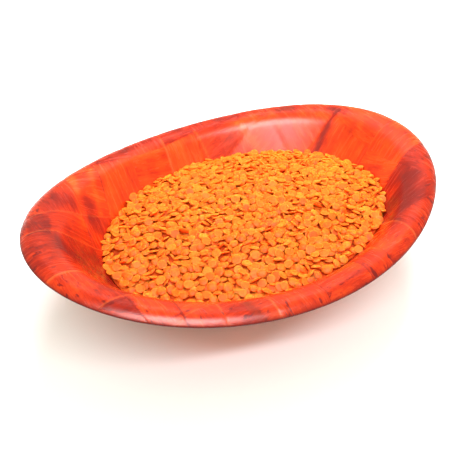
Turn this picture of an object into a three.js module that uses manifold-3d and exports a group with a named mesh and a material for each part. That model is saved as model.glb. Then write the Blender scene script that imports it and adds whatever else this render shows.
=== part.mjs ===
// An oval bowl pressed from woven strips of wood, filled with dry split lentils.
// Millimetres, +Z up, long axis along X, origin on the table under the middle of the foot.
import * as THREE from 'three';
import { mergeVertices } from 'three/addons/utils/BufferGeometryUtils.js';
import Module from 'manifold-3d';

const wasm = await Module();
wasm.setup();

// ---- Driving dimensions ----

const degree = Math.PI / 180;

const bowlLength = 228;
const bowlWidth = 170.4;
const shell = 2.2; // the pressed layers of strips and their lacquer
const edgeCrown = 0.3; // the cut edge is sanded slightly round
const rimHeight = 47.1; // mean height of the rim's outer edge above the table
const rimSaddle = 5.6; // the rim rises by this at both ends and falls by it at both sides
const bowlSegments = 64;

const lipRadius = 9.1; // the lip rolls over, out and down, to its cut edge
const lipDroop = 45 * degree;
const shoulderRadius = 17; // from the lip's crest in and down to the wall
const wallSlope = 52 * degree;
const footFillet = 26; // from the wall to the flat floor
const sideSqueeze = 0.85; // every step in from the rim is this much shorter across than along

const fitGap = 0.3; // between the heap and the bowl it lies in

const lentilAcross = 4.4;
const lentilThick = 1.7;
const lentilPitch = 4.7; // from one bump of the heap to the next
const latticeStep = lentilPitch / Math.sqrt(3); // from a bump's middle to the gaps round it
const latticeRow = lentilPitch / 2;
const lentilSides = 7;
const looseLentils = 72; // whole ones that lie on the heap
const rimLentils = 36; // whole ones where the heap meets the wall

const heapPeak = { x: 29, y: -13, z: 38.4 }; // poured a little off the middle
const heapTurn = -35 * degree; // direction of the heap's gentler fall
const heapRadiusAlong = 460; // radius of the heap's curve in that direction
const heapRadiusAcross = 249;
const heapReach = { x: 84, y: 64 }; // half sizes of the field that the heap is cut from

const bumpHeight = 1.4; // from a lentil's middle down to the gaps round it
const bumpUneven = 0.5; // how far a bump or a gap strays up or down
const bumpShift = 0.9; // how far a bump's top strays sideways

const looseLift = 0.35; // of a whole lentil's middle over the smooth top
const looseTilt = 0.35;
const rimLift = 0.45;
const rimTilt = 0.35;
const rimStepIn = 2.1; // from the wall to the middle of a lentil that leans on it
const sizeSpread = 0.08; // whole lentils are this share larger or smaller

// ---- Shared helpers ----

// A seeded draw between -1 and 1 (a 32-bit mixing generator), so that every build is the same.
function seededDraw(seed) {
  let state = seed >>> 0;
  return function draw() {
    state = (state + 0x6d2b79f5) >>> 0;
    let mixed = Math.imul(state ^ (state >>> 15), state | 1);
    mixed ^= mixed + Math.imul(mixed ^ (mixed >>> 7), mixed | 61);
    return ((mixed ^ (mixed >>> 14)) >>> 0) / 2147483648 - 1;
  };
}

// Joins a geometry's doubled vertices and drops the faces that this closes up, as at a pole.
function welded(geometry) {
  const bare = geometry.clone();
  bare.deleteAttribute('normal');
  bare.deleteAttribute('uv');
  const joined = mergeVertices(bare, 1e-3);
  const faces = [];
  const index = joined.index.array;
  for (let i = 0; i < index.length; i += 3) {
    const [a, b, c] = [index[i], index[i + 1], index[i + 2]];
    if (a !== b && b !== c && c !== a) faces.push(a, b, c);
  }
  joined.setIndex(faces);
  return joined;
}

function solidFrom(geometry) {
  return new wasm.Manifold(new wasm.Mesh({
    numProp: 3,
    vertProperties: new Float32Array(geometry.attributes.position.array),
    triVerts: new Uint32Array(geometry.index.array),
  }));
}

function geometryFrom(solid) {
  const mesh = solid.getMesh();
  const geometry = new THREE.BufferGeometry();
  geometry.setAttribute('position', new THREE.BufferAttribute(mesh.vertProperties, 3));
  geometry.setIndex(new THREE.BufferAttribute(mesh.triVerts, 1));
  geometry.computeVertexNormals();
  return geometry;
}

function subPart(name, geometry, finish) {
  const mesh = new THREE.Mesh(geometry, new THREE.MeshStandardMaterial(finish));
  mesh.name = name;
  return mesh;
}

// ---- The bowl's section ----

// Stations down the bowl's upper face, from the cut edge to the floor. Each gives the inset from
// the rim, the height over the rim's mean edge, and the slope there, which is down towards the
// middle when positive.
function sectionStations() {
  const stations = [];
  const arcSteps = 3;

  for (let i = 0; i <= arcSteps; i++) {
    const slope = lipDroop * (i / arcSteps - 1);
    stations.push({
      inset: lipRadius * (Math.sin(lipDroop) + Math.sin(slope)),
      height: lipRadius * (Math.cos(slope) - Math.cos(lipDroop)),
      slope,
    });
  }
  const crest = stations.at(-1);
  for (let i = 1; i <= arcSteps; i++) {
    const slope = wallSlope * (i / arcSteps);
    stations.push({
      inset: crest.inset + shoulderRadius * Math.sin(slope),
      height: crest.height - shoulderRadius * (1 - Math.cos(slope)),
      slope,
    });
  }
  const wallTop = stations.at(-1);
  const floor = shell - rimHeight;
  const filletTop = floor + footFillet * (1 - Math.cos(wallSlope));
  const wallFoot = wallTop.inset + (wallTop.height - filletTop) / Math.tan(wallSlope);
  for (let i = 0; i <= arcSteps; i++) {
    const slope = wallSlope * (1 - i / arcSteps);
    stations.push({
      inset: wallFoot + footFillet * (Math.sin(wallSlope) - Math.sin(slope)),
      height: floor + footFillet * (1 - Math.cos(slope)),
      slope,
    });
  }
  return stations;
}

const stations = sectionStations();
const floorInset = stations.at(-1).inset;
const hollowInset = lipRadius + shoulderRadius * Math.sin(wallSlope / 2);
const hollowStations = stations.filter((station) => station.inset > hollowInset);

// Moves a station square to the face: up, off the face, when the distance is positive.
function offset(station, distance) {
  return new THREE.Vector2(
    bowlLength / 2 - station.inset - distance * Math.sin(station.slope),
    rimHeight + station.height + distance * Math.cos(station.slope),
  );
}

// Half length and half width of the oval at a distance from the axis, measured along X. Down to
// the floor the ovals keep nearly even insets; on the floor they shrink evenly to the middle.
function ovalAt(along) {
  const floorAlong = bowlLength / 2 - floorInset;
  const floorAcross = bowlWidth / 2 - sideSqueeze * floorInset;
  const across = along > floorAlong
    ? bowlWidth / 2 - sideSqueeze * (bowlLength / 2 - along)
    : (floorAcross * along) / floorAlong;
  return { along, across };
}

// Turns a section into a closed round body, then draws it out to the oval with the saddle rim.
function ovalBody(section) {
  const body = new THREE.LatheGeometry(section, bowlSegments);
  body.rotateX(Math.PI / 2);
  const oval = welded(body);
  const points = oval.attributes.position;
  for (let i = 0; i < points.count; i++) {
    const radius = Math.hypot(points.getX(i), points.getY(i));
    const turn = Math.atan2(points.getY(i), points.getX(i));
    const { along, across } = ovalAt(radius);
    const inset = bowlLength / 2 - radius;
    const fade = THREE.MathUtils.clamp(1 - inset / floorInset, 0, 1);
    const rise = rimSaddle * Math.cos(2 * turn) * fade;
    points.setXYZ(i, along * Math.cos(turn), across * Math.sin(turn), points.getZ(i) + rise);
  }
  return oval;
}

// ---- Bowl: one pressed shell with a rolled lip and a sanded cut edge ----

function bowlGeometry() {
  const upper = stations.map((station) => offset(station, 0));
  const under = stations.map((station) => offset(station, -shell));

  const outward = new THREE.Vector2(Math.cos(lipDroop), -Math.sin(lipDroop));
  const cutEdge = upper[0].clone().lerp(under[0], 0.5).addScaledVector(outward, edgeCrown);
  const section = [
    new THREE.Vector2(0, 0),
    ...under.toReversed(),
    cutEdge,
    ...upper,
    new THREE.Vector2(0, shell),
  ];
  return ovalBody(section);
}

// ---- Heap of lentils: a bumpy dome that fills the bowl, with whole lentils fused on ----

// The hollow of the bowl, a gap clear of its face, open above well past the heap's top.
function hollowSolid() {
  const face = hollowStations.map((station) => offset(station, fitGap));
  const lid = face[0].y + 20;
  const section = [
    new THREE.Vector2(0, face.at(-1).y),
    ...face.toReversed(),
    new THREE.Vector2(face[0].x, lid),
    new THREE.Vector2(0, lid),
  ];
  return solidFrom(ovalBody(section));
}

// Height of the heap's smooth top: a shallow dome, longer one way than the other.
function heapTop(x, y) {
  const fromPeak = new THREE.Vector2(x - heapPeak.x, y - heapPeak.y);
  fromPeak.rotateAround(new THREE.Vector2(), -heapTurn);
  const fallAlong = fromPeak.x ** 2 / (2 * heapRadiusAlong);
  const fallAcross = fromPeak.y ** 2 / (2 * heapRadiusAcross);
  return heapPeak.z - fallAlong - fallAcross;
}

// Direction straight out of the smooth top.
function heapNormal(x, y) {
  const step = 0.5;
  const slopeX = (heapTop(x + step, y) - heapTop(x - step, y)) / (2 * step);
  const slopeY = (heapTop(x, y + step) - heapTop(x, y - step)) / (2 * step);
  return new THREE.Vector3(-slopeX, -slopeY, 1).normalize();
}

// The heap's bumps stand on a triangular lattice. Every third place in a row is the middle of a
// bump, and the six places round it are the gaps between that bump and its neighbours.
function latticePlace(column, row) {
  return new THREE.Vector2((column - row / 2) * latticeStep, row * latticeRow);
}

function nearestBump(x, y) {
  const row = Math.round(y / latticeRow);
  const column = Math.round(x / latticeStep + row / 2);
  const past = THREE.MathUtils.euclideanModulo(column + row, 3);
  return latticePlace(past === 2 ? column + 1 : column - past, row);
}

function bumpySolid() {
  const rows = 2 * Math.ceil(heapReach.y / latticeRow);
  const columns = 2 * Math.ceil((heapReach.x + heapReach.y / Math.sqrt(3)) / latticeStep);
  const field = welded(new THREE.BoxGeometry(columns, rows, 2, columns, rows, 1));
  const points = field.attributes.position;
  const draw = seededDraw(11);

  for (let i = 0; i < points.count; i++) {
    const column = Math.round(points.getX(i));
    const row = Math.round(points.getY(i));
    const place = latticePlace(column, row);
    if (points.getZ(i) < 0) {
      points.setXYZ(i, place.x, place.y, 0);
      continue;
    }
    const isMiddle = THREE.MathUtils.euclideanModulo(column + row, 3) === 0;
    if (isMiddle) {
      place.x += bumpShift * draw();
      place.y += bumpShift * draw();
    }
    const lift = (isMiddle ? 0 : -bumpHeight) + bumpUneven * draw();
    points.setXYZ(i, place.x, place.y, heapTop(place.x, place.y) + lift);
  }
  return solidFrom(field);
}

// One split lentil: a thin disc, domed above and nearly flat below, on its own axis.
function lentilGeometry(across, thick) {
  const radius = across / 2;
  const section = [
    new THREE.Vector2(0, -0.5 * thick),
    new THREE.Vector2(radius, -0.1 * thick),
    new THREE.Vector2(0.66 * radius, 0.36 * thick),
    new THREE.Vector2(0, 0.5 * thick),
  ];
  const disc = new THREE.LatheGeometry(section, lentilSides);
  disc.rotateX(Math.PI / 2);
  return welded(disc);
}

// Lays a lentil on the heap at (x, y). It leans the given way, and by a draw any other way.
function laidLentil(x, y, lift, lean, tilt, draw) {
  const size = 1 + sizeSpread * draw();
  const lentil = lentilGeometry(lentilAcross * size, lentilThick * size);
  const facing = heapNormal(x, y);
  facing.x += lean.x + tilt * draw();
  facing.y += lean.y + tilt * draw();
  facing.normalize();
  const turn = new THREE.Quaternion().setFromUnitVectors(new THREE.Vector3(0, 0, 1), facing);
  lentil.rotateZ(Math.PI * draw());
  lentil.applyQuaternion(turn);
  lentil.translate(x, y, heapTop(x, y) + lift * (1 + 0.3 * draw()));
  return solidFrom(lentil);
}

// Distance out to the place where the heap's top meets the bowl's face, along one bearing of the
// oval, as the oval's half length there.
function shoreAlong(bearing) {
  const face = hollowStations.map((station) => offset(station, fitGap));
  let inner = bowlLength / 2 - floorInset;
  let outer = face[0].x;
  for (let i = 0; i < 20; i++) {
    const along = (inner + outer) / 2;
    const { across } = ovalAt(along);
    const above = face.findIndex((point) => point.x <= along);
    const part = (along - face[above].x) / (face[above - 1].x - face[above].x);
    const fade = (along - (bowlLength / 2 - floorInset)) / floorInset;
    const faceHeight = THREE.MathUtils.lerp(face[above].y, face[above - 1].y, part)
      + rimSaddle * Math.cos(2 * bearing) * fade;
    if (faceHeight < heapTop(along * Math.cos(bearing), across * Math.sin(bearing))) inner = along;
    else outer = along;
  }
  return inner;
}

function wholeLentils() {
  const draw = seededDraw(29);
  const lentils = [];

  // Over the heap, evenly, on a sunflower spiral, each on a bump.
  const goldenTurn = Math.PI * (3 - Math.sqrt(5));
  for (let i = 0; i < looseLentils; i++) {
    const bearing = i * goldenTurn;
    const share = 0.95 * Math.sqrt((i + 0.5) / looseLentils);
    const { along, across } = ovalAt(shoreAlong(bearing));
    const bump = nearestBump(
      share * along * Math.cos(bearing),
      share * across * Math.sin(bearing),
    );
    lentils.push(laidLentil(bump.x, bump.y, looseLift, new THREE.Vector2(), looseTilt, draw));
  }

  // Along the wall, leaning on it, some further out than others.
  for (let i = 0; i < rimLentils; i++) {
    const bearing = (2 * Math.PI * (i + 0.3 * draw())) / rimLentils;
    const { along, across } = ovalAt(shoreAlong(bearing) - rimStepIn * (1 + 0.4 * draw()));
    const inward = new THREE.Vector2(-Math.cos(bearing), -Math.sin(bearing));
    const x = along * Math.cos(bearing);
    const y = across * Math.sin(bearing);
    lentils.push(laidLentil(x, y, rimLift, inward.multiplyScalar(rimTilt), rimTilt, draw));
  }
  return lentils;
}

// The heap is one piece: sealed hollows are filled, and what hangs on by a mere point is dropped.
function heapGeometry() {
  let heap = bumpySolid();
  for (const lentil of wholeLentils()) heap = heap.add(lentil);
  heap = heap.intersect(hollowSolid());
  const pieces = solidFrom(welded(geometryFrom(heap))).decompose();
  pieces.sort((one, other) => other.volume() - one.volume());
  return geometryFrom(pieces[0]);
}

// ---- The part ----

const part = new THREE.Group();
part.add(subPart('bowl', bowlGeometry(), { color: 0xd8371c, roughness: 0.28, metalness: 0 }));
part.add(subPart('lentil_heap', heapGeometry(), { color: 0xf5842b, roughness: 0.6, metalness: 0 }));

export default part;
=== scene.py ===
import math
import random

import bmesh
import bpy
import numpy as np
from mathutils import Matrix, Vector


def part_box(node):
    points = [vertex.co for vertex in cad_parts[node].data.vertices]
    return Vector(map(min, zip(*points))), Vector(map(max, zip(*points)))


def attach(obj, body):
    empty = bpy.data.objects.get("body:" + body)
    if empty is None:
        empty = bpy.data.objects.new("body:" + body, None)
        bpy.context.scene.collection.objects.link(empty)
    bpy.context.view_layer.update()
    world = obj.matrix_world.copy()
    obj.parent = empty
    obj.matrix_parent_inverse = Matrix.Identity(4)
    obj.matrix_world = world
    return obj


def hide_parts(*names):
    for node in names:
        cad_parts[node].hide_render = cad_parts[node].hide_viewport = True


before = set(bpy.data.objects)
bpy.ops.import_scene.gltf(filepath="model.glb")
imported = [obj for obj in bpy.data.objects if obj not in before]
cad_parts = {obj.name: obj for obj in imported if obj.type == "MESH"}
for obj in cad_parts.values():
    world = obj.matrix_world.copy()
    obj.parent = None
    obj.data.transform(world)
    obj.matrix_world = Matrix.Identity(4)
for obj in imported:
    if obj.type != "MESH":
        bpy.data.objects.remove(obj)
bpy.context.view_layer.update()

# ---- Camera ----
# It stands a third of a metre from the bowl, over its near left side, and looks down on it
# through a long lens.

rim_height = 0.0471             # mean height of the bowl's edge above the table
camera_distance = 0.3306        # from the middle of the rim
camera_rise = math.radians(37.12)
camera_turn = math.radians(-37.08)
camera_side_step = -0.0066
camera_up_step = -0.0197
lens_length = 50.31             # in mm, on the usual 36 mm sensor
nearest_seen = 0.01

camera_back = Vector((
    math.sin(camera_turn) * math.cos(camera_rise),
    -math.cos(camera_turn) * math.cos(camera_rise),
    math.sin(camera_rise),
))
camera_right = Vector((math.cos(camera_turn), math.sin(camera_turn), 0))
camera_up = camera_back.cross(camera_right)

camera_data = bpy.data.cameras.new("camera")
camera_data.lens = lens_length
camera_data.clip_start = nearest_seen
camera = bpy.data.objects.new("camera", camera_data)
facing = Matrix((camera_right, camera_up, camera_back)).transposed()
camera.matrix_world = Matrix.Translation(
    Vector((0, 0, rim_height))
    + camera_back * camera_distance
    + camera_right * camera_side_step
    + camera_up * camera_up_step
) @ facing.to_4x4()
bpy.context.scene.collection.objects.link(camera)
bpy.context.scene.camera = camera


# ---- Table and light ----
# A plain white table in a bright white room. A wide soft lamp stands over the camera's right
# shoulder and a weaker one behind the bowl. Only the lacquer mirrors the oval panel above.

table_half = 2.0


def added_object(name, mesh):
    """A new object in the scene, at the origin, with the mesh given."""
    made = bpy.data.objects.new(name, mesh)
    bpy.context.scene.collection.objects.link(made)
    return made


table_shape = bmesh.new()
bmesh.ops.create_grid(table_shape, x_segments=1, y_segments=1, size=table_half)
table_mesh = bpy.data.meshes.new("table")
table_shape.to_mesh(table_mesh)
table_shape.free()
table = added_object("table", table_mesh)

table_paint = bpy.data.materials.new("white_table")
table_paint.use_nodes = True
table_shader = table_paint.node_tree.nodes["Principled BSDF"]
table_shader.inputs["Base Color"].default_value = (0.93, 0.935, 0.98, 1)
table_shader.inputs["Roughness"].default_value = 0.9
table_shader.inputs["Specular IOR Level"].default_value = 0.1
table_mesh.materials.append(table_paint)

# The room's light is faintly tinted, and the room itself shows plain white behind the table.
room = bpy.data.worlds.new("room")
room.use_nodes = True
room_tree = room.node_tree
room_light = room_tree.nodes["Background"]
room_light.inputs["Color"].default_value = (0.97, 1.04, 0.78, 1)
room_light.inputs["Strength"].default_value = 0.86
backdrop = room_tree.nodes.new("ShaderNodeBackground")
backdrop.inputs["Color"].default_value = (1, 1, 1, 1)
seen = room_tree.nodes.new("ShaderNodeLightPath")
light_or_backdrop = room_tree.nodes.new("ShaderNodeMixShader")
room_tree.links.new(seen.outputs["Is Camera Ray"], light_or_backdrop.inputs[0])
room_tree.links.new(room_light.outputs[0], light_or_backdrop.inputs[1])
room_tree.links.new(backdrop.outputs[0], light_or_backdrop.inputs[2])
room_tree.links.new(light_or_backdrop.outputs[0], room_tree.nodes["World Output"].inputs["Surface"])
bpy.context.scene.world = room
bpy.context.scene.view_settings.view_transform = "Standard"


def lamp(name, turn_right, rise, distance, wide, tall, power, mirrored):
    """A panel that faces the bowl, turned to the right of the camera's own direction."""
    panel = bpy.data.lights.new(name, "AREA")
    panel.shape = "ELLIPSE" if mirrored else "RECTANGLE"
    panel.size = wide
    panel.size_y = tall
    panel.energy = power
    turn = camera_turn + turn_right
    towards = Vector((
        math.sin(turn) * math.cos(rise),
        -math.cos(turn) * math.cos(rise),
        math.sin(rise),
    ))
    holder = bpy.data.objects.new(name, panel)
    holder.matrix_world = (
        Matrix.Translation(towards * distance) @ towards.to_track_quat("Z", "Y").to_matrix().to_4x4()
    )
    holder.visible_diffuse = not mirrored
    holder.visible_glossy = mirrored
    bpy.context.scene.collection.objects.link(holder)


lamp(
    "window", turn_right=math.radians(14), rise=math.radians(58), distance=2.0,
    wide=2.4, tall=0.2, power=28, mirrored=False,
)
lamp(
    "back_window", turn_right=math.radians(175), rise=math.radians(54), distance=0.5,
    wide=0.40, tall=0.20, power=4.0, mirrored=False,
)
lamp(
    "mirrored_panel", turn_right=math.radians(7), rise=math.radians(63), distance=0.8,
    wide=0.60, tall=0.42, power=24.0, mirrored=True,
)


# ---- Bowl ----
# Strips of thin hardwood are woven flat, pressed with resin between oval moulds into one shell,
# trimmed, sanded at the cut edge, dyed red-orange and lacquered inside and out.

bowl_low, bowl_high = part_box("bowl")
half_length = (bowl_high[0] - bowl_low[0]) / 2
half_width = (bowl_high[1] - bowl_low[1]) / 2
shell = 0.0022
edge_crown = 0.0003             # the cut edge bulges by this
edge_corner = 0.7               # its corners, as a share of the way from its middle
edge_fade = [0.5, 0.2, 0.05]    # its colour still has these shares on the next places up the lip
rim_saddle = 0.0056             # the rim rises by this at the ends and falls by it at the sides
lip_radius = 0.0091
lip_droop = math.radians(45)
shoulder_radius = 0.017
wall_slope = math.radians(52)
foot_fillet = 0.026
side_squeeze = 0.85             # steps in from the rim are this much shorter across than along
floor_ring_shares = (0.97, 0.9, 0.78, 0.62, 0.45, 0.28, 0.12)

bowl_steps = 600                # faces around the bowl
lip_stations = 13               # and places along its section: on the lip,
shoulder_stations = 15          # the shoulder,
wall_stations = 22              # the straight wall
foot_stations = 12              # and the fillet at the foot

# Edges of the strips that run across: where each meets the near and the far side, and how it
# shows there, from -1 for a dark line to 1 for a wide pale one.
column_edges = (
    (-0.140, -0.140, 0, 0), (-0.0835, -0.104, -0.8, 0), (-0.076, -0.067, -0.9, 0),
    (-0.062, -0.0483, 0.8, -0.8), (-0.041, -0.024, 0.6, 0), (-0.017, -0.001, -0.5, 0.7),
    (0.008, 0.020, -0.5, 0), (0.022, 0.052, -0.6, 0), (0.043, 0.070, 0.6, 0),
    (0.078, 0.101, 0, 0), (0.140, 0.140, 0, 0),
)
# Edges of the strips that run lengthwise, in the same way: at the left and at the right end.
row_edges = (
    (-0.110, -0.110, 0, 0), (-0.058, -0.062, 0.4, -0.6), (-0.037, -0.029, 0.5, -0.4),
    (-0.012, -0.003, 0.7, 0.1), (0.0225, 0.028, 0.4, 0), (0.0336, 0.066, 0.35, 0),
    (0.066, 0.076, -0.2, 0), (0.110, 0.110, 0, 0),
)
strip_sink = 0.00024            # a strip dives this deep where it goes under its neighbour
arch_share = 0.85               # of that is the arch along the strip; the rest rounds its edges
lacquer_gap = 0.00005           # keeps the fine face under the coarser solid's
flat_foot = 1e-4                # below this the foot is sanded flat
nearly_zero = 1e-6              # stands in for zero where it would be divided by


def bowl_stations():
    """Inset from the rim, height over its mean edge and slope, from the cut edge to the floor."""
    found = []
    for slope in np.linspace(-lip_droop, 0, lip_stations):
        found.append((
            lip_radius * (math.sin(lip_droop) + math.sin(slope)),
            lip_radius * (math.cos(slope) - math.cos(lip_droop)),
            slope,
        ))
    crest_inset, crest_height, _ = found[-1]
    for slope in np.linspace(0, wall_slope, shoulder_stations)[1:]:
        found.append((
            crest_inset + shoulder_radius * math.sin(slope),
            crest_height - shoulder_radius * (1 - math.cos(slope)),
            slope,
        ))
    top_inset, top_height, _ = found[-1]
    floor = shell - rim_height
    fillet_top = floor + foot_fillet * (1 - math.cos(wall_slope))
    foot_inset = top_inset + (top_height - fillet_top) / math.tan(wall_slope)
    for part in np.linspace(0, 1, wall_stations)[1:-1]:
        found.append((
            top_inset + part * (foot_inset - top_inset),
            top_height + part * (fillet_top - top_height),
            wall_slope,
        ))
    for slope in np.linspace(wall_slope, 0, foot_stations):
        found.append((
            foot_inset + foot_fillet * (math.sin(wall_slope) - math.sin(slope)),
            floor + foot_fillet * (1 - math.cos(slope)),
            slope,
        ))
    return found


stations = bowl_stations()
station_radii = np.array([half_length - station[0] for station in stations])
station_heights = np.array([rim_height + station[1] for station in stations])
floor_inset = stations[-1][0]
floor_along = half_length - floor_inset
floor_across = half_width - side_squeeze * floor_inset


def offset(station, distance):
    """The place (radius, height) of a station moved square to the face, up when positive."""
    inset, height, slope = station
    return (
        half_length - inset - distance * math.sin(slope),
        rim_height + height + distance * math.cos(slope),
    )


def oval_across(along):
    """Half width of the oval whose half length is given."""
    return np.where(
        along > floor_along,
        half_width - side_squeeze * (half_length - along),
        floor_across * along / floor_along,
    )


def saddle_rise(along, turn):
    """How far the rim's rise and fall lifts a place on the oval whose half length is given."""
    fade = np.clip(1 - (half_length - along) / floor_inset, 0, 1)
    return rim_saddle * np.cos(2 * turn) * fade


def drawn_to_oval(places):
    """Round places drawn out to the oval, with the rim's rise and fall."""
    radius = np.hypot(places[:, 0], places[:, 1])
    turn = np.arctan2(places[:, 1], places[:, 0])
    return np.stack([
        radius * np.cos(turn),
        oval_across(radius) * np.sin(turn),
        places[:, 2] + saddle_rise(radius, turn),
    ], axis=1)


def spun(name, section, steps, layers):
    """A closed round mesh from a section of (radius, height) points between two axis points."""
    shape = bmesh.new()
    held = {key: shape.verts.layers.float.new(key) for key in layers}
    points = [shape.verts.new((radius, 0, height)) for radius, height in section]
    for i, point in enumerate(points):
        for key, values in layers.items():
            point[held[key]] = values[i]
    edges = [shape.edges.new(pair) for pair in zip(points, points[1:])]
    bmesh.ops.spin(
        shape, geom=points + edges, cent=(0, 0, 0), axis=(0, 0, 1),
        angle=2 * math.pi, steps=steps, use_merge=True,
    )
    bmesh.ops.remove_doubles(shape, verts=shape.verts, dist=1e-6)
    bmesh.ops.recalc_face_normals(shape, faces=shape.faces)
    for face in shape.faces:
        face.smooth = True
    mesh = bpy.data.meshes.new(name)
    shape.to_mesh(mesh)
    shape.free()
    return mesh


def places_of(mesh):
    """The mesh's points, one to a row."""
    flat = np.empty(3 * len(mesh.vertices))
    mesh.vertices.foreach_get("co", flat)
    return flat.reshape(-1, 3)


def values_of(mesh, key):
    """The value that a spun layer holds at each point."""
    flat = np.empty(len(mesh.vertices))
    mesh.attributes[key].data.foreach_get("value", flat)
    return flat


def among_strips(place, share, strip_edges):
    """Strips passed at a place, width of the strip there and tone of the nearest edge."""
    passed = np.zeros(len(place))
    width = np.zeros(len(place))
    tone = np.zeros(len(place))
    edges = [
        (one + (other - one) * share, tone_one + (tone_other - tone_one) * share)
        for one, other, tone_one, tone_other in strip_edges
    ]
    for (start, start_tone), (end, end_tone) in zip(edges, edges[1:]):
        part = np.clip((place - start) / (end - start), 0, 1)
        passed += part
        within = (part > 0) & (part < 1)
        width = np.where(within, end - start, width)
        tone = np.where(within, np.where(part < 0.5, start_tone, end_tone), tone)
    return passed, width, tone


def woven(x, y, drawn):
    """Columns and rows of the weave at each place, each as strips passed, width and edge tone."""
    return (
        among_strips(x * drawn, y / (2 * half_width) + 0.5, column_edges),
        among_strips(y * drawn, x / (2 * half_length) + 0.5, row_edges),
    )


def strip_relief(column, row, lengthwise_up):
    """How deep the face lies: a strip arches over the one below and dives under the next."""
    runs_across = (np.floor(column) + np.floor(row)) % 2 == (0 if lengthwise_up else 1)
    along = np.abs(2 * (np.where(runs_across, row, column) % 1) - 1)
    beside = np.abs(2 * (np.where(runs_across, column, row) % 1) - 1)
    return strip_sink * (arch_share * along ** 3 + (1 - arch_share) * beside ** 6)


usual_dye = (0.15, 0.50)        # a strip takes up a chance share between these
dye_seed = 5

# Where the strip on top took up more or less dye than the usual, by column and row. At the left
# shoulder, (1, 2) and (1, 3), and on the right wall, (8, 1) and (9, 1), the dark is partly dye and
# partly painted shade, where those parts of the wall lie in shade.
crossing_dyes_and_shade = {
    (2, 0): 0.45, (3, 0): 0.50, (4, 0): 0.45, (5, 0): 0.45, (6, 0): 0.50, (7, 0): 0.60,
    (8, 0): 0.62, (9, 0): 0.62,
    (0, 1): 0.40, (1, 1): 0.40, (8, 1): 0.88, (9, 1): 0.84,
    (0, 2): 0.62, (1, 2): 0.90, (2, 2): 0.55, (8, 2): 0.20, (9, 2): 0.25,
    (0, 3): 0.74, (1, 3): 0.92, (2, 3): 0.62, (8, 3): 0.28, (9, 3): 0.32,
    (0, 4): 0.52, (1, 4): 0.66, (2, 4): 0.62, (7, 4): 0.22, (8, 4): 0.22,
    (1, 5): 0.60, (2, 5): 0.35, (5, 5): 0.15, (7, 5): 0.20,
    (3, 6): 0.50, (4, 6): 0.50, (5, 6): 0.55, (6, 6): 0.50, (7, 6): 0.50,
}
# Soft stains along the grain: from, to, half width and how much darker, or lighter when negative. A few
# also carry painted shade or a painted highlight, as marked below.
stains_and_painted_light = (
    ((-0.065, 0.063), (-0.073, 0.036), 0.0024, -0.45),
    ((-0.0605, 0.066), (-0.067, 0.038), 0.0030, 0.22),
    ((-0.080, 0.050), (-0.074, 0.046), 0.0050, 0.35),
    ((-0.053, 0.066), (-0.060, 0.044), 0.0016, -0.35),
    ((-0.098, 0.020), (-0.095, 0.010), 0.0040, 0.25),
    ((-0.094, 0.010), (-0.078, 0.002), 0.0036, 0.28),
    ((-0.084, 0.047), (-0.090, 0.038), 0.0060, 0.30),
    ((-0.046, 0.070), (-0.026, 0.075), 0.0034, 0.38),
    ((-0.026, 0.076), (-0.004, 0.079), 0.0020, 0.25),
    ((0.0965, 0.0279), (0.0750, 0.0242), 0.0015, 0.85),
    ((0.1006, 0.0246), (0.1010, 0.0250), 0.0010, 0.55),
    ((0.0930, 0.0120), (0.0960, 0.0130), 0.0020, 0.30),
    ((0.0376, -0.0763), (0.0390, -0.0768), 0.0012, 0.50),
    # The next two are partly darker dye and partly painted shade on the right wall, which turns away
    # from the lamps.
    ((0.0934, -0.0295), (0.0800, -0.0420), 0.0050, 0.35),
    ((0.0800, -0.0420), (0.0720, -0.0498), 0.0045, 0.30),
    ((0.020, 0.072), (0.0222, 0.056), 0.0007, -0.60),
    # This pale line is partly a paler strip edge and partly a painted highlight where that edge catches
    # the lamp.
    ((0.0462, 0.064), (0.053, 0.045), 0.0016, -0.60),
    ((0.0740, 0.0550), (0.0800, 0.0500), 0.0030, 0.70),
    ((0.0850, 0.0455), (0.0975, 0.0290), 0.0030, 0.30),
    ((0.0385, 0.0715), (0.0600, 0.0640), 0.0025, 0.35),
    ((0.062, 0.059), (0.064, 0.0575), 0.0018, 0.40),
    ((-0.030, 0.0765), (0.012, 0.079), 0.0045, 0.35),
    ((0.012, 0.079), (0.050, 0.0705), 0.0045, 0.35),
    ((0.050, 0.0705), (0.085, 0.050), 0.0045, 0.30),
    ((0.097, 0.023), (0.098, 0.0235), 0.0010, 0.50),
    ((0.103, -0.005), (0.1075, -0.0035), 0.0012, 0.50),
    ((0.067, -0.048), (0.062, -0.060), 0.0060, 0.40),
    ((0.088, -0.052), (0.078, -0.060), 0.0050, -0.15),
    ((0.058, -0.058), (0.040, -0.066), 0.0030, 0.35),
    ((-0.050, -0.067), (-0.049, -0.076), 0.0024, 0.50),
    ((-0.0757, -0.0504), (-0.0756, -0.0599), 0.0004, 0.55),
    ((-0.0810, -0.0573), (-0.0761, -0.0577), 0.0004, 0.60),
    ((0.094, 0.034), (0.100, 0.022), 0.0024, 0.35),
)
# Strips laid bare by the sanding of the lip: how much darker, and their corners.
bared_strips = (
    (0.45, ((-0.109, 0.025), (-0.102, 0.0225), (-0.0985, 0.021), (-0.096, 0.020), (-0.093, 0.027),
            (-0.0905, 0.034), (-0.096, 0.038), (-0.103, 0.0395))),
    (0.60, ((-0.1015, -0.0375), (-0.0899, -0.0368), (-0.0881, -0.0376), (-0.0882, -0.042),
            (-0.0891, -0.047), (-0.0888, -0.0510))),
    (-0.15, ((0.045, -0.080), (0.034, -0.069), (0.022, -0.070), (0.026, -0.084))),
)


def inside_corners(x, y, corners):
    """Which places lie inside the outline that the corners make."""
    within = np.zeros(len(x), bool)
    for (ax, ay), (bx, by) in zip(corners, corners[1:] + corners[:1]):
        if ay != by:
            crossed = (ay > y) != (by > y)
            within ^= crossed & (x < ax + (bx - ax) * (y - ay) / (by - ay))
    return within


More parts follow.
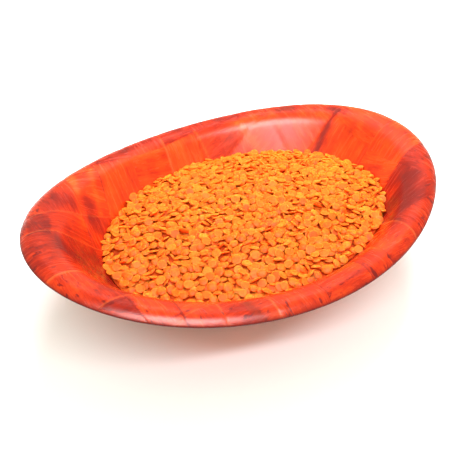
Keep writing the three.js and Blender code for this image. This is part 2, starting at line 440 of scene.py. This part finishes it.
def dye_and_painted_light(x, y, column, row):
    """How dark the strip on top is at each place, from about 0 to 1, its painted shade and highlight
    included.
    """
    draw = np.random.default_rng(dye_seed)
    least, most = usual_dye
    crossing = least + (most - least) * draw.random((len(column_edges), len(row_edges)))
    for numbers, share in crossing_dyes_and_shade.items():
        crossing[numbers] = share
    taken = crossing[np.floor(column).astype(int), np.floor(row).astype(int)]
    for start, end, half, share in stains_and_painted_light:
        reach = np.subtract(end, start)
        along = np.clip(((x - start[0]) * reach[0] + (y - start[1]) * reach[1]) / (reach @ reach), 0, 1)
        away = np.hypot(x - start[0] - along * reach[0], y - start[1] - along * reach[1])
        taken = taken + share * np.exp(-(away / half) ** 2)
    for share, corners in bared_strips:
        taken = taken + share * inside_corners(x, y, corners)
    return taken


floor_rings = [floor_along * share for share in floor_ring_shares]
upper = [offset(station, 0) for station in stations] + [(ring, shell) for ring in floor_rings]
upper_slopes = [station[2] for station in stations] + [0] * len(floor_rings)

# Underneath, every other place along the section will do.
under_stations = stations[::2] if len(stations) % 2 else stations[::2] + stations[-1:]
under = [offset(station, -shell) for station in under_stations] + [(ring, 0) for ring in floor_rings]
under_slopes = [station[2] for station in under_stations] + [0] * len(floor_rings)

edge_middle = (Vector(upper[0]) + Vector(under[0])) / 2
edge_out = Vector((math.cos(lip_droop), -math.sin(lip_droop)))
edge_points = [
    edge_middle.lerp(Vector(under[0]), edge_corner) + edge_corner * edge_crown * edge_out,
    edge_middle + edge_crown * edge_out,
    edge_middle.lerp(Vector(upper[0]), edge_corner) + edge_corner * edge_crown * edge_out,
]
bowl_section = [(0, 0)] + under[::-1] + [tuple(point) for point in edge_points] + upper + [(0, shell)]
bowl_mesh = spun("woven_bowl", bowl_section, bowl_steps, {
    "slope": [0] + under_slopes[::-1] + [-lip_droop] * len(edge_points) + upper_slopes + [0],
    "side": [-1] * (len(under) + 1) + [0] * len(edge_points) + [1] * (len(upper) + 1),
    "cut_edge": (
        [0] * (len(under) + 1) + [1] * (len(edge_points) + 1)
        + edge_fade + [0] * (len(upper) - len(edge_fade))
    ),
})

places = places_of(bowl_mesh)
slope = values_of(bowl_mesh, "slope")
side = values_of(bowl_mesh, "side")
radii = np.hypot(places[:, 0], places[:, 1])
outward = places[:, :2] / np.maximum(radii, nearly_zero)[:, None]

# A strip keeps its width up the wall, so what counts is the distance over the face, not the
# radius. How much longer it is, as a share of the most, is drawn.
station_lengths = np.hypot(np.diff(station_radii), np.diff(station_heights))[::-1].cumsum()
lengths = np.concatenate([[floor_along], floor_along + station_lengths])
drawn = lengths / station_radii[::-1]
drawn = np.interp(radii, station_radii[::-1], drawn / max(drawn))
places = drawn_to_oval(places)
(column, column_width, column_tone), (row, row_width, row_tone) = woven(
    places[:, 0], places[:, 1], drawn,
)
painted = {
    "strip_column": column, "column_width": column_width, "column_tone": column_tone,
    "strip_row": row, "row_width": row_width, "row_tone": row_tone,
    "dye_and_painted_light": dye_and_painted_light(places[:, 0], places[:, 1], column, row),
}
sunk = np.where(side > 0, strip_relief(column, row, True), strip_relief(column, row, False))
sunk = np.where((side < 0) & (places[:, 2] < flat_foot), 0, sunk * np.abs(side))
places[:, :2] += (side * sunk * np.sin(slope))[:, None] * outward
places[:, 2] -= side * sunk * np.cos(slope)
places[:, 2] = np.maximum(places[:, 2] - np.where(side > 0, lacquer_gap, 0), 0)
bowl_mesh.vertices.foreach_set("co", places.ravel())
for key, values in painted.items():
    bowl_mesh.attributes.new(key, "FLOAT", "POINT").data.foreach_set("value", values)
bowl_mesh.update()
bowl = added_object("woven_bowl", bowl_mesh)


class Nodes:
    """Shorthand for wiring one material: sockets and plain numbers may be mixed as inputs."""

    def __init__(self, name):
        self.material = bpy.data.materials.new(name)
        self.material.use_nodes = True
        self.tree = self.material.node_tree
        self.shader = self.tree.nodes["Principled BSDF"]
        self.place = self.add("ShaderNodeTexCoord", {}, output="Object")

    def add(self, kind, inputs, output=0, **settings):
        """A node of a kind, with its inputs and settings filled in. It gives back one output."""
        made = self.tree.nodes.new(kind)
        for key, value in settings.items():
            setattr(made, key, value)
        for key, value in inputs.items():
            self.put(made.inputs[key], value)
        return made.outputs[output]

    def put(self, socket, value):
        if isinstance(value, bpy.types.NodeSocket):
            self.tree.links.new(value, socket)
        else:
            socket.default_value = value

    def math(self, operation, *values, clamp=False):
        return self.add("ShaderNodeMath", dict(enumerate(values)), operation=operation, use_clamp=clamp)

    def attribute(self, key):
        return self.add("ShaderNodeAttribute", {}, output="Fac", attribute_name=key)

    def vector(self, x, y, z):
        return self.add("ShaderNodeCombineXYZ", {0: x, 1: y, 2: z})

    def noise(self, at, scale, detail=3, rough=0.55):
        return self.add(
            "ShaderNodeTexNoise",
            {"Vector": at, "Scale": scale, "Detail": detail, "Roughness": rough},
        )

    def ramp(self, value, low, high):
        """Rises softly from 0 to 1 as the value goes from low to high."""
        return self.add(
            "ShaderNodeMapRange",
            {"Value": value, "From Min": low, "From Max": high, "To Min": 0.0, "To Max": 1.0},
            interpolation_type="SMOOTHSTEP",
        )

    def blend(self, share, one, other):
        """Two colours mixed. The node's sockets 6 and 7 are its colours."""
        return self.add(
            "ShaderNodeMix", {"Factor": share, 6: one, 7: other}, output=2, data_type="RGBA",
        )

    def pick(self, share, one, other):
        """Two numbers mixed. The node's sockets 2 and 3 are its plain numbers."""
        return self.add("ShaderNodeMix", {"Factor": share, 2: one, 3: other}, data_type="FLOAT")

    def bump(self, height, strength, distance):
        return self.add(
            "ShaderNodeBump", {"Strength": strength, "Distance": distance, "Height": height},
            output="Normal",
        )


def dye(red, green, blue):
    """A colour given as it shows on a screen, from 0 to 255."""
    def linear(value):
        value /= 255
        return value / 12.92 if value <= 0.04045 else ((value + 0.055) / 1.055) ** 2.4
    return (linear(red), linear(green), linear(blue), 1)


maroon = dye(116, 22, 18)
worn_orange = dye(236, 104, 52)
edge_brown = dye(92, 24, 26)
# The dye by its tone, from where the wood took up the most to where it took up the least.
dye_stops = (
    (0.0, maroon), (0.26, dye(150, 29, 14)), (0.5, dye(186, 43, 14)), (0.72, dye(211, 62, 15)),
    (1.0, dye(219, 82, 26)),
)
undyed_tone = 0.80              # tone of wood that took up no dye
dye_depth = 0.62                # and how far a full share of dye darkens it
first_row_number = 40           # keeps the grain of the rows apart from that of the columns
seam_waver = 0.0008             # the edges of the strips stray by half of this
dark_seam_fades = (0.0001, 0.0006)      # full as far as the first from the edge, gone at the second
pale_seam_fades = (0.0002, 0.0016)
dark_seam_strength = 0.85
pale_seam_strength = 0.6

wood = Nodes("dyed_woven_wood")
split = wood.tree.nodes.new("ShaderNodeSeparateXYZ")
wood.put(split.inputs[0], wood.place)
along_bowl = split.outputs["X"]
across_bowl = split.outputs["Y"]
strip_column = wood.attribute("strip_column")
strip_row = wood.attribute("strip_row")
column_number = wood.math("FLOOR", strip_column)
row_number = wood.math("FLOOR", strip_row)
lengthwise_up = wood.math("FLOORED_MODULO", wood.math("ADD", column_number, row_number), 2)
strip_number = wood.pick(lengthwise_up, column_number, wood.math("ADD", row_number, first_row_number))
across_strip = wood.pick(lengthwise_up, along_bowl, across_bowl)
along_strip = wood.pick(lengthwise_up, across_bowl, along_bowl)


def stretched(across, along, seed):
    """Object coordinates squeezed so that noise runs along the strip on top."""
    return wood.vector(
        wood.math("MULTIPLY", across_strip, across), wood.math("MULTIPLY", along_strip, along),
        wood.math("MULTIPLY", strip_number, seed),
    )


def leaning(noise, weight):
    """Noise about zero, with the weight given."""
    return wood.math("MULTIPLY", wood.math("SUBTRACT", noise, 0.5), weight)


# The dye varies along the grain, from broad bands down to single fibres, and in blotches and
# clouds over the strips. Open fibres, and small chips in the lip, are darker still.
broad = wood.noise(stretched(170, 22, 2.3), 1.0, detail=4, rough=0.6)
grain = wood.noise(stretched(560, 70, 3.7), 1.0, detail=5, rough=0.7)
fibre = wood.noise(stretched(1900, 210, 5.1), 1.0, detail=4, rough=0.65)
chips = wood.noise(stretched(420, 160, 7.9), 1.0, detail=3, rough=0.6)
blotch = wood.noise(wood.place, 75, detail=6, rough=0.7)
cloud = wood.noise(wood.place, 20, detail=3)

lip = wood.math("SUBTRACT", 1, wood.ramp(wood.attribute("slope"), -0.2, 0.5))
tone = wood.math("SUBTRACT", undyed_tone, wood.math("MULTIPLY", wood.attribute("dye_and_painted_light"), dye_depth))
for part in (
    leaning(cloud, 0.60), leaning(blotch, 0.80), leaning(broad, 0.65), leaning(grain, 0.70),
    leaning(fibre, 0.65),
    wood.math("MULTIPLY", wood.ramp(fibre, 0.58, 0.72), -0.28),
    wood.math("MULTIPLY", wood.ramp(grain, 0.60, 0.75), -0.24),
    wood.math("MULTIPLY", wood.math("MULTIPLY", wood.ramp(chips, 0.58, 0.67), lip), -0.70),
):
    tone = wood.math("ADD", tone, part)
shades = wood.tree.nodes.new("ShaderNodeValToRGB")
while len(shades.color_ramp.elements) < len(dye_stops):
    shades.color_ramp.elements.new(1.0)
for stop, (share, shade) in zip(shades.color_ramp.elements, dye_stops):
    stop.position = share
    stop.color = shade
wood.put(shades.inputs["Fac"], tone)
colour = shades.outputs["Color"]


def line_along(position, width, edge_tone):
    """Strength of the dark and of the pale line along the nearest edge of a strip."""
    part = wood.math("FRACT", position)
    away = wood.math(
        "MULTIPLY", wood.math("MINIMUM", part, wood.math("SUBTRACT", 1, part)), width,
    )
    away = wood.math("ADD", away, leaning(blotch, seam_waver))
    dark_line = wood.math("SUBTRACT", 1, wood.ramp(away, *dark_seam_fades))
    pale_reach = wood.math("MULTIPLY", wood.math("ABSOLUTE", edge_tone), pale_seam_fades[1])
    pale_line = wood.math("SUBTRACT", 1, wood.ramp(away, pale_seam_fades[0], pale_reach))
    return (
        wood.math("MULTIPLY", dark_line, wood.math("MULTIPLY", edge_tone, -1, clamp=True)),
        wood.math("MULTIPLY", pale_line, wood.math("MULTIPLY", edge_tone, 1, clamp=True)),
    )


column_dark, column_pale = line_along(
    strip_column, wood.attribute("column_width"), wood.attribute("column_tone"),
)
row_dark, row_pale = line_along(strip_row, wood.attribute("row_width"), wood.attribute("row_tone"))
dark_seam = wood.math("MAXIMUM", column_dark, row_dark)
pale_seam = wood.math("MAXIMUM", column_pale, row_pale)
seam = wood.math("MAXIMUM", dark_seam, pale_seam)
still_dark = wood.ramp(wood.noise(wood.place, 90, detail=3), 0.30, 0.42)
worn_through = wood.ramp(wood.noise(wood.place, 70, detail=3), 0.28, 0.50)
pale_share = wood.math("MULTIPLY", wood.math("MULTIPLY", pale_seam, worn_through), pale_seam_strength)
dark_share = wood.math("MULTIPLY", wood.math("MULTIPLY", dark_seam, still_dark), dark_seam_strength)
colour = wood.blend(pale_share, colour, worn_orange)
colour = wood.blend(dark_share, colour, maroon)
colour = wood.blend(wood.attribute("cut_edge"), colour, edge_brown)

# The sanded lip is scuffed under its lacquer, the grain stands up and the seams lie low.
sanded = wood.math("SUBTRACT", 1, wood.ramp(wood.attribute("slope"), -0.75, 0.0))
scuffs = wood.math("MULTIPLY", wood.noise(wood.place, 1300, detail=4, rough=0.7), sanded)
raised = wood.math("MULTIPLY_ADD", scuffs, 0.9, wood.math("MULTIPLY", grain, 0.5))
raised = wood.math("MULTIPLY_ADD", fibre, 0.35, raised)
raised = wood.math("MULTIPLY_ADD", seam, -0.9, raised)
wood.put(wood.shader.inputs["Base Color"], colour)
wood.put(wood.shader.inputs["Normal"], wood.bump(raised, strength=0.35, distance=0.0003))
wood.put(wood.shader.inputs["Roughness"], wood.math("MULTIPLY_ADD", grain, 0.24, 0.14))
wood.shader.inputs["Specular IOR Level"].default_value = 0.16
bowl_mesh.materials.append(wood.material)

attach(bowl, "root")
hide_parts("bowl")


# ---- Heap of lentils: the core ----
# What lies under the lentils that show: the deeper layers, as one closed mass that fills the
# bowl. It shows only at the bottom of the gaps, painted a darker orange than the lentils as painted
# shade there.

heap_peak = (0.029, -0.013, 0.0384)
heap_turn = math.radians(-35)
heap_radius_along = 0.460
heap_radius_across = 0.249
core_depth = 0.0022             # from the heap's top down to the core
core_film = 1e-5                # the core is this thick at its shore
fit_gap = 0.0003                # between the core and the bowl
core_rings = 46
core_steps = 200
shore_range = (0.02, half_length - 0.012)   # the core's shore lies somewhere between these
halvings = 24


def heap_top(x, y):
    """Height of the heap's smooth top."""
    along = (x - heap_peak[0]) * math.cos(heap_turn) + (y - heap_peak[1]) * math.sin(heap_turn)
    across = (y - heap_peak[1]) * math.cos(heap_turn) - (x - heap_peak[0]) * math.sin(heap_turn)
    return heap_peak[2] - along ** 2 / (2 * heap_radius_along) - across ** 2 / (2 * heap_radius_across)


def narrowed(inner, outer, lies_past):
    """The value between two where lies_past, asked about a value, turns from true to false."""
    for _ in range(halvings):
        middle = (inner + outer) / 2
        past = lies_past(middle)
        inner = np.where(past, middle, inner)
        outer = np.where(past, outer, middle)
    return middle


def wall_height(x, y):
    """Height of the bowl's inner face over a place."""
    def lies_past(along):
        return (x / along) ** 2 + (y / oval_across(along)) ** 2 > 1

    along = narrowed(nearly_zero, half_length, lies_past)
    turn = np.arctan2(y / oval_across(along), x / along)
    return np.interp(along, station_radii[::-1], station_heights[::-1]) + saddle_rise(along, turn)


ring_radii = [i / core_rings for i in range(core_rings + 1)]
core_section = [(radius, 0) for radius in ring_radii] + [(radius, 1) for radius in ring_radii[::-1]]
core_mesh = spun("lentil_core", core_section, core_steps, {
    "lid": [0] * len(ring_radii) + [1] * len(ring_radii),
})
core_places = places_of(core_mesh)
core_reach = np.hypot(core_places[:, 0], core_places[:, 1])
core_turn = np.arctan2(core_places[:, 1], core_places[:, 0])


def covered(shore):
    """Whether the heap reaches over the bowl's face on the oval whose half length is given."""
    x = shore * np.cos(core_turn)
    y = oval_across(shore) * np.sin(core_turn)
    return wall_height(x, y) + fit_gap <= heap_top(x, y) - core_depth


shore = narrowed(*shore_range, covered)
core_x = shore * core_reach * np.cos(core_turn)
core_y = oval_across(shore) * core_reach * np.sin(core_turn)
core_base = wall_height(core_x, core_y) + fit_gap
core_lid = np.maximum(heap_top(core_x, core_y) - core_depth, core_base + core_film)
core_height = np.where(values_of(core_mesh, "lid") > 0.5, core_lid, core_base)
core_mesh.vertices.foreach_set("co", np.stack([core_x, core_y, core_height], axis=1).ravel())
core_mesh.update()
core = added_object("lentil_core", core_mesh)

deep_paint = Nodes("deeper_lentils_painted_shade")
deep_grain = deep_paint.noise(deep_paint.place, 420, detail=2)
# Painted shade: the deeper lentils are a darker orange than the ones on top, so the gaps show dark.
deep_colour_with_painted_shade = deep_paint.blend(
    deep_paint.ramp(deep_grain, 0.35, 0.65), dye(200, 66, 10), dye(226, 88, 16),
)
deep_paint.put(deep_paint.shader.inputs["Base Color"], deep_colour_with_painted_shade)
deep_paint.put(
    deep_paint.shader.inputs["Normal"], deep_paint.bump(deep_grain, strength=0.8, distance=0.001),
)
deep_paint.shader.inputs["Roughness"].default_value = 0.8
deep_paint.shader.inputs["Specular IOR Level"].default_value = 0.1
core_mesh.materials.append(deep_paint.material)
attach(core, "root")
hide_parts("lentil_heap")


# ---- Heap of lentils: the lentils that show ----
# Dry red lentils, hulled and mostly split in two. Each is dropped where the heap is lowest and
# comes to rest on what lies there, until the heap has its height.

lentil_across = 0.0049
lentil_sides = 10
least_size = 0.8                # of a lentil, as a share of the usual one
most_size = 1.18
size_spread = 0.07
stretches = ((0.88, 1.08), (0.94, 1.10), (0.85, 1.2))   # by chance, along each of its axes
kinds = {
    # share of the heap, belly below the rim, back above it
    "lentils_back_up": (0.50, 0.00016, 0.00090),
    "lentils_face_up": (0.35, 0.00090, 0.00016),
    "lentils_whole": (0.10, 0.00092, 0.00092),
    "lentils_chipped": (0.05, 0.00018, 0.00088),
}
chip_at = 0.5                   # how far out a chipped one is broken off, as a share of its radius
chip_facing = (1, 0.12, 0.2)

lies_with_heap = -0.2           # share of the heap's own slope that a lentil takes
most_lean = 0.34                # slope of a lentil over that
loose_lean = 0.25               # and its usual chance lean
first_lean = 0.25               # usual lean of a lentil as it drops
roll_steps = (0.30, 0.24, 0.20, 0.16, 0.12, 0.09, 0.07, 0.05, 0.03, 0.02)
rests_on = 16                   # cells that a lentil presses into before it is at rest

on_edge_share = 0.10            # of the lentils land on edge, where there is room,
on_edge_hollow = 0.0012         # which is a hollow this deep,
on_edge_lean = (0.9, 2.2)       # with a lean between these,
on_edge_sink = 0.35             # and sink into it by this share of their radius

most_tries = 5000
tries_each = 10                 # places looked at for each lentil, which takes the lowest
least_hollow = 0.00012          # a place lower by less than this is full
least_room = 0.0006             # depth of the heap over the bowl where the outermost lentils lie
stands_proud = 0.0008           # most that a lentil may stand over the heap's top,
counted_back = 0.8              # with this share of its back
lentil_seed = 17

# The heap is laid over a field of small square cells. Each has the height that the lentils reach
# so far, its level, the height that they are to reach, its goal, and what is still hollow.
grid_step = 0.0003
field_x = np.arange(-0.092, 0.1005, grid_step)
field_y = np.arange(-0.078, 0.0785, grid_step)
nearby = 5                      # cells either way over which a hollow is measured
given_up = 2                    # cells either way that are left when a lentil would stand too high
footprint_share = 0.62          # of its width that a lentil's footprint reaches from its middle

footprint = math.ceil(footprint_share * lentil_across / grid_step)
grid_x, grid_y = np.meshgrid(field_x, field_y, indexing="ij")
goal = heap_top(grid_x, grid_y)
wall = wall_height(grid_x, grid_y)
level = np.maximum(goal - core_depth, wall)
open_cells = np.argwhere(goal > wall + least_room)
foot_x, foot_y = np.meshgrid(
    np.arange(-footprint, footprint + 1) * grid_step, np.arange(-footprint, footprint + 1) * grid_step,
    indexing="ij",
)


def around(i, j, reach):
    """The square of cells that reaches this far either way from a cell."""
    return np.s_[i - reach:i + reach + 1, j - reach:j + reach + 1]


def touching(ground, radius, belly, lean_x, lean_y):
    """A lentil's rise and spread over its footprint, and how high each cell would hold it."""
    rise = lean_x * foot_x + lean_y * foot_y
    spread = (foot_x ** 2 + foot_y ** 2 + rise ** 2) / radius ** 2
    return rise, spread, np.where(spread <= 1, ground + belly * (1 - spread) - rise, -1)


def rolled(i, j, radius, belly, lean_x, lean_y):
    """The lean of a lentil that has rolled away, step by step, from what holds it up most."""
    ground = level[around(i, j, footprint)]
    for step in roll_steps:
        _, _, touch = touching(ground, radius, belly, lean_x, lean_y)
        highest = np.unravel_index(np.argmax(touch), touch.shape)
        lean_x += step * foot_x[highest] / radius
        lean_y += step * foot_y[highest] / radius
    flat_x = lies_with_heap * (goal[i + 1, j] - goal[i - 1, j]) / (2 * grid_step)
    flat_y = lies_with_heap * (goal[i, j + 1] - goal[i, j - 1]) / (2 * grid_step)
    steep = math.hypot(lean_x - flat_x, lean_y - flat_y)
    kept = min(1, most_lean / max(steep, nearly_zero))
    return (
        flat_x + kept * (lean_x - flat_x) + draw.gauss(0, loose_lean),
        flat_y + kept * (lean_y - flat_y) + draw.gauss(0, loose_lean),
    )


def hollow_around(i, j, half):
    """Mean height still to fill round each cell of a square of cells."""
    part = around(i, j, half + nearby)
    blocks = np.lib.stride_tricks.sliding_window_view(goal[part] - level[part], (2 * nearby + 1,) * 2)
    return blocks.mean(axis=(2, 3))


draw = random.Random(lentil_seed)
picker = np.random.default_rng(lentil_seed)
laid = {kind: [] for kind in kinds}
kind_shares = [share for share, _, _ in kinds.values()]
hollow = np.maximum(goal - level, 0)
for _ in range(most_tries):
    tries = open_cells[picker.integers(len(open_cells), size=tries_each)]
    i, j = tries[np.argmax(hollow[tries[:, 0], tries[:, 1]])]
    if hollow[i, j] < least_hollow:
        continue
    kind = draw.choices(list(kinds), kind_shares)[0]
    _, belly, back = kinds[kind]
    size = max(least_size, min(most_size, draw.gauss(1, size_spread)))
    radius = size * lentil_across / 2
    on_edge = draw.random() < on_edge_share and hollow[i, j] > on_edge_hollow
    turn = draw.uniform(0, 2 * math.pi)
    steep = draw.uniform(*on_edge_lean) if on_edge else abs(draw.gauss(0, first_lean))
    lean_x = steep * math.cos(turn)
    lean_y = steep * math.sin(turn)
    if not on_edge:
        lean_x, lean_y = rolled(i, j, radius, size * belly, lean_x, lean_y)
    ground = level[around(i, j, footprint)]
    rise, spread, touch = touching(ground, radius, size * belly, lean_x, lean_y)
    height = np.partition(touch[spread <= 1], -rests_on)[-rests_on]
    if on_edge:
        height -= on_edge_sink * radius
    if height + size * back * counted_back > goal[i, j] + stands_proud:
        hollow[around(i, j, given_up)] = 0
        continue
    top = height + rise + math.sqrt(1 + lean_x ** 2 + lean_y ** 2) * size * back * (1 - spread)
    ground[...] = np.where(spread <= 1, np.maximum(ground, top), ground)
    changed = footprint + nearby
    hollow[around(i, j, changed)] = hollow_around(i, j, changed)
    laid[kind].append((
        Vector((field_x[i], field_y[j], height)),
        Vector((-lean_x, -lean_y, 1)).normalized(),
        draw.uniform(0, 2 * math.pi),
        [size * draw.uniform(*limits) for limits in stretches],
        draw.random(),
    ))


def lentil_shape(name, belly, back, chipped):
    """One lentil about its own axis, by its section from the belly's middle to the back's."""
    radius = lentil_across / 2
    section = [
        (0, -belly), (0.6 * radius, -0.82 * belly), (0.92 * radius, -0.38 * belly),
        (radius, 0.05 * back),
        (0.9 * radius, 0.40 * back), (0.58 * radius, 0.80 * back), (0, back),
    ]
    # The rim layer marks the lentil's edge, where the paint lightens it as painted light.
    mesh = spun(name, section, lentil_sides, {"rim": [0, 0, 0.6, 1, 0.6, 0, 0]})
    if chipped:
        shape = bmesh.new()
        shape.from_mesh(mesh)
        cut = bmesh.ops.bisect_plane(
            shape, geom=shape.verts[:] + shape.edges[:] + shape.faces[:],
            plane_co=(chip_at * radius, 0, 0), plane_no=chip_facing, clear_outer=True,
        )
        open_edges = [part for part in cut["geom_cut"] if isinstance(part, bmesh.types.BMEdge)]
        bmesh.ops.holes_fill(shape, edges=open_edges)
        bmesh.ops.recalc_face_normals(shape, faces=shape.faces)
        shape.to_mesh(mesh)
        shape.free()
    return mesh


def strewn(name, shape_mesh, lentils):
    """One mesh of all the lentils of a kind, each at its place, lean and size."""
    pattern = added_object(name + "_pattern", shape_mesh)
    spots = bpy.data.meshes.new(name + "_spots")
    spots.vertices.add(len(lentils))
    spots.vertices.foreach_set("co", [value for lentil in lentils for value in lentil[0]])
    turns, sizes, tints = [], [], []
    for _, upward, spin, size, tint in lentils:
        tilt = upward.to_track_quat("Z", "Y").to_matrix()
        turns.extend((tilt @ Matrix.Rotation(spin, 3, "Z")).to_euler())
        sizes.extend(size)
        tints.append(tint)
    spots.attributes.new("turn", "FLOAT_VECTOR", "POINT").data.foreach_set("vector", turns)
    spots.attributes.new("size", "FLOAT_VECTOR", "POINT").data.foreach_set("vector", sizes)
    spots.attributes.new("tint", "FLOAT", "POINT").data.foreach_set("value", tints)
    holder = added_object(name + "_holder", spots)

    tree = bpy.data.node_groups.new(name + "_strewn", "GeometryNodeTree")
    tree.interface.new_socket("Geometry", in_out="INPUT", socket_type="NodeSocketGeometry")
    tree.interface.new_socket("Geometry", in_out="OUTPUT", socket_type="NodeSocketGeometry")
    enter = tree.nodes.new("NodeGroupInput")
    leave = tree.nodes.new("NodeGroupOutput")
    one = tree.nodes.new("GeometryNodeObjectInfo")
    one.inputs["Object"].default_value = pattern
    place = tree.nodes.new("GeometryNodeInstanceOnPoints")
    real = tree.nodes.new("GeometryNodeRealizeInstances")
    read = {}
    for key in ("turn", "size"):
        read[key] = tree.nodes.new("GeometryNodeInputNamedAttribute")
        read[key].data_type = "FLOAT_VECTOR"
        read[key].inputs["Name"].default_value = key
    link = tree.links.new
    link(enter.outputs[0], place.inputs["Points"])
    link(one.outputs["Geometry"], place.inputs["Instance"])
    link(read["turn"].outputs["Attribute"], place.inputs["Rotation"])
    link(read["size"].outputs["Attribute"], place.inputs["Scale"])
    link(place.outputs["Instances"], real.inputs["Geometry"])
    link(real.outputs["Geometry"], leave.inputs[0])
    holder.modifiers.new("strewn", "NODES").node_group = tree

    depsgraph = bpy.context.evaluated_depsgraph_get()
    mesh = bpy.data.meshes.new_from_object(
        holder.evaluated_get(depsgraph), preserve_all_data_layers=True, depsgraph=depsgraph,
    )
    mesh.name = name
    bpy.data.objects.remove(holder)
    bpy.data.objects.remove(pattern)
    return added_object(name, mesh)


lentil_paint = Nodes("split_lentil")
tint = lentil_paint.attribute("tint")
mottle = lentil_paint.noise(lentil_paint.place, 900, detail=2)
# Painted light: the rims are painted a lighter orange than the faces, standing in for light glowing
# through the thin edges and to offset the shade on them.
painted_rim_light_share = lentil_paint.math("MULTIPLY", lentil_paint.attribute("rim"), 0.6)
mottle_share = lentil_paint.math("MULTIPLY", lentil_paint.ramp(mottle, 0.45, 0.75), 0.25)
skin = lentil_paint.blend(lentil_paint.ramp(tint, 0.0, 0.5), dye(228, 95, 17), dye(231, 105, 24))
skin = lentil_paint.blend(lentil_paint.ramp(tint, 0.5, 0.9), skin, dye(235, 114, 30))
skin = lentil_paint.blend(lentil_paint.ramp(tint, 0.97, 0.99), skin, dye(239, 132, 38))
skin = lentil_paint.blend(painted_rim_light_share, skin, dye(238, 122, 28))
skin = lentil_paint.blend(mottle_share, skin, dye(226, 92, 15))
lentil_paint.put(lentil_paint.shader.inputs["Base Color"], skin)
lentil_paint.put(
    lentil_paint.shader.inputs["Normal"], lentil_paint.bump(mottle, strength=0.25, distance=0.0002),
)
lentil_paint.put(
    lentil_paint.shader.inputs["Roughness"], lentil_paint.math("MULTIPLY_ADD", mottle, 0.30, 0.46),
)
lentil_paint.shader.inputs["Subsurface Weight"].default_value = 1.0
lentil_paint.shader.inputs["Subsurface Radius"].default_value = (1.0, 0.4, 0.15)
lentil_paint.shader.inputs["Subsurface Scale"].default_value = 0.0020
lentil_paint.shader.inputs["Specular IOR Level"].default_value = 0.13

for kind, (_, belly, back) in kinds.items():
    shape_mesh = lentil_shape(kind, belly, back, chipped=kind == "lentils_chipped")
    pile = strewn(kind, shape_mesh, laid[kind])
    pile.data.materials.clear()
    pile.data.materials.append(lentil_paint.material)
    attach(pile, "root")
    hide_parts("lentil_heap")
